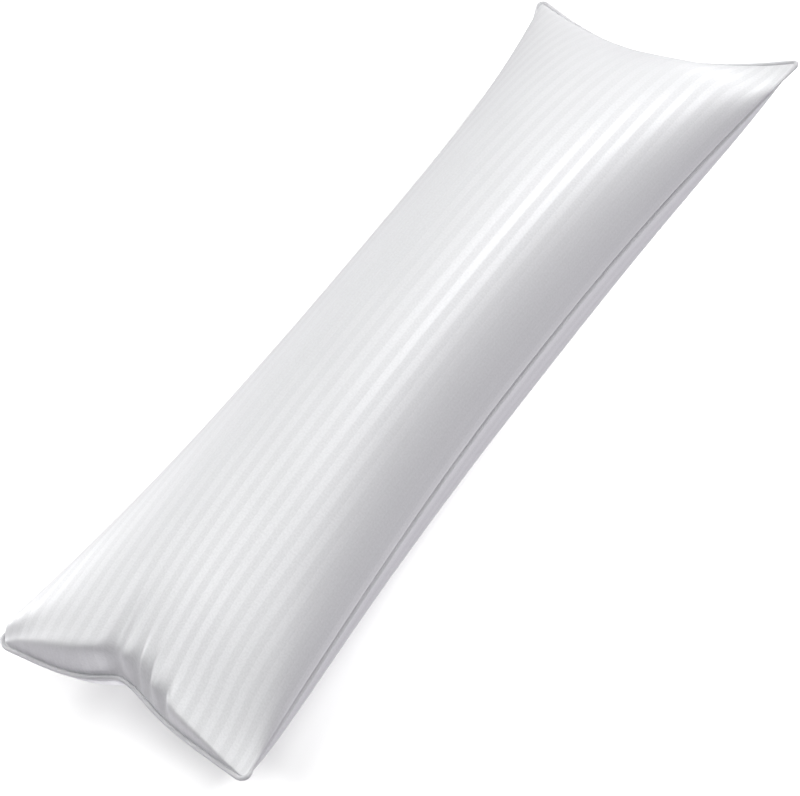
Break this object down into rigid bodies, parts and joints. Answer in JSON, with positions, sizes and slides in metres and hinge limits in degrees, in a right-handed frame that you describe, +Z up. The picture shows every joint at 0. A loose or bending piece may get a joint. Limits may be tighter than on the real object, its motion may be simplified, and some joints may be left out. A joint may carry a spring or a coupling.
{
  "type": "body pillow",
  "caption": "Long filled pillow with a crowned, drawn-in body, pointed corner ears, a fold pinched into one end and slim piping along its edge seam.",
  "frame": {"origin": "middle of the footprint, on the surface that the pillow lies on", "axes": "+Z up through the front panel, +Y along the pillow away from the end with the pinched fold, +X across it"},
  "size_m": [0.4869, 1.3606, 0.274],
  "materials": {
    "cover": "white sateen with lengthwise satin stripes in the same white, soft sheen",
    "piping": "white plain-woven piping of the cover's own cloth, matt"
  },
  "bodies": {
    "root": {"pillow_body": "cover", "piping": "piping"}
  },
  "joints": []
}
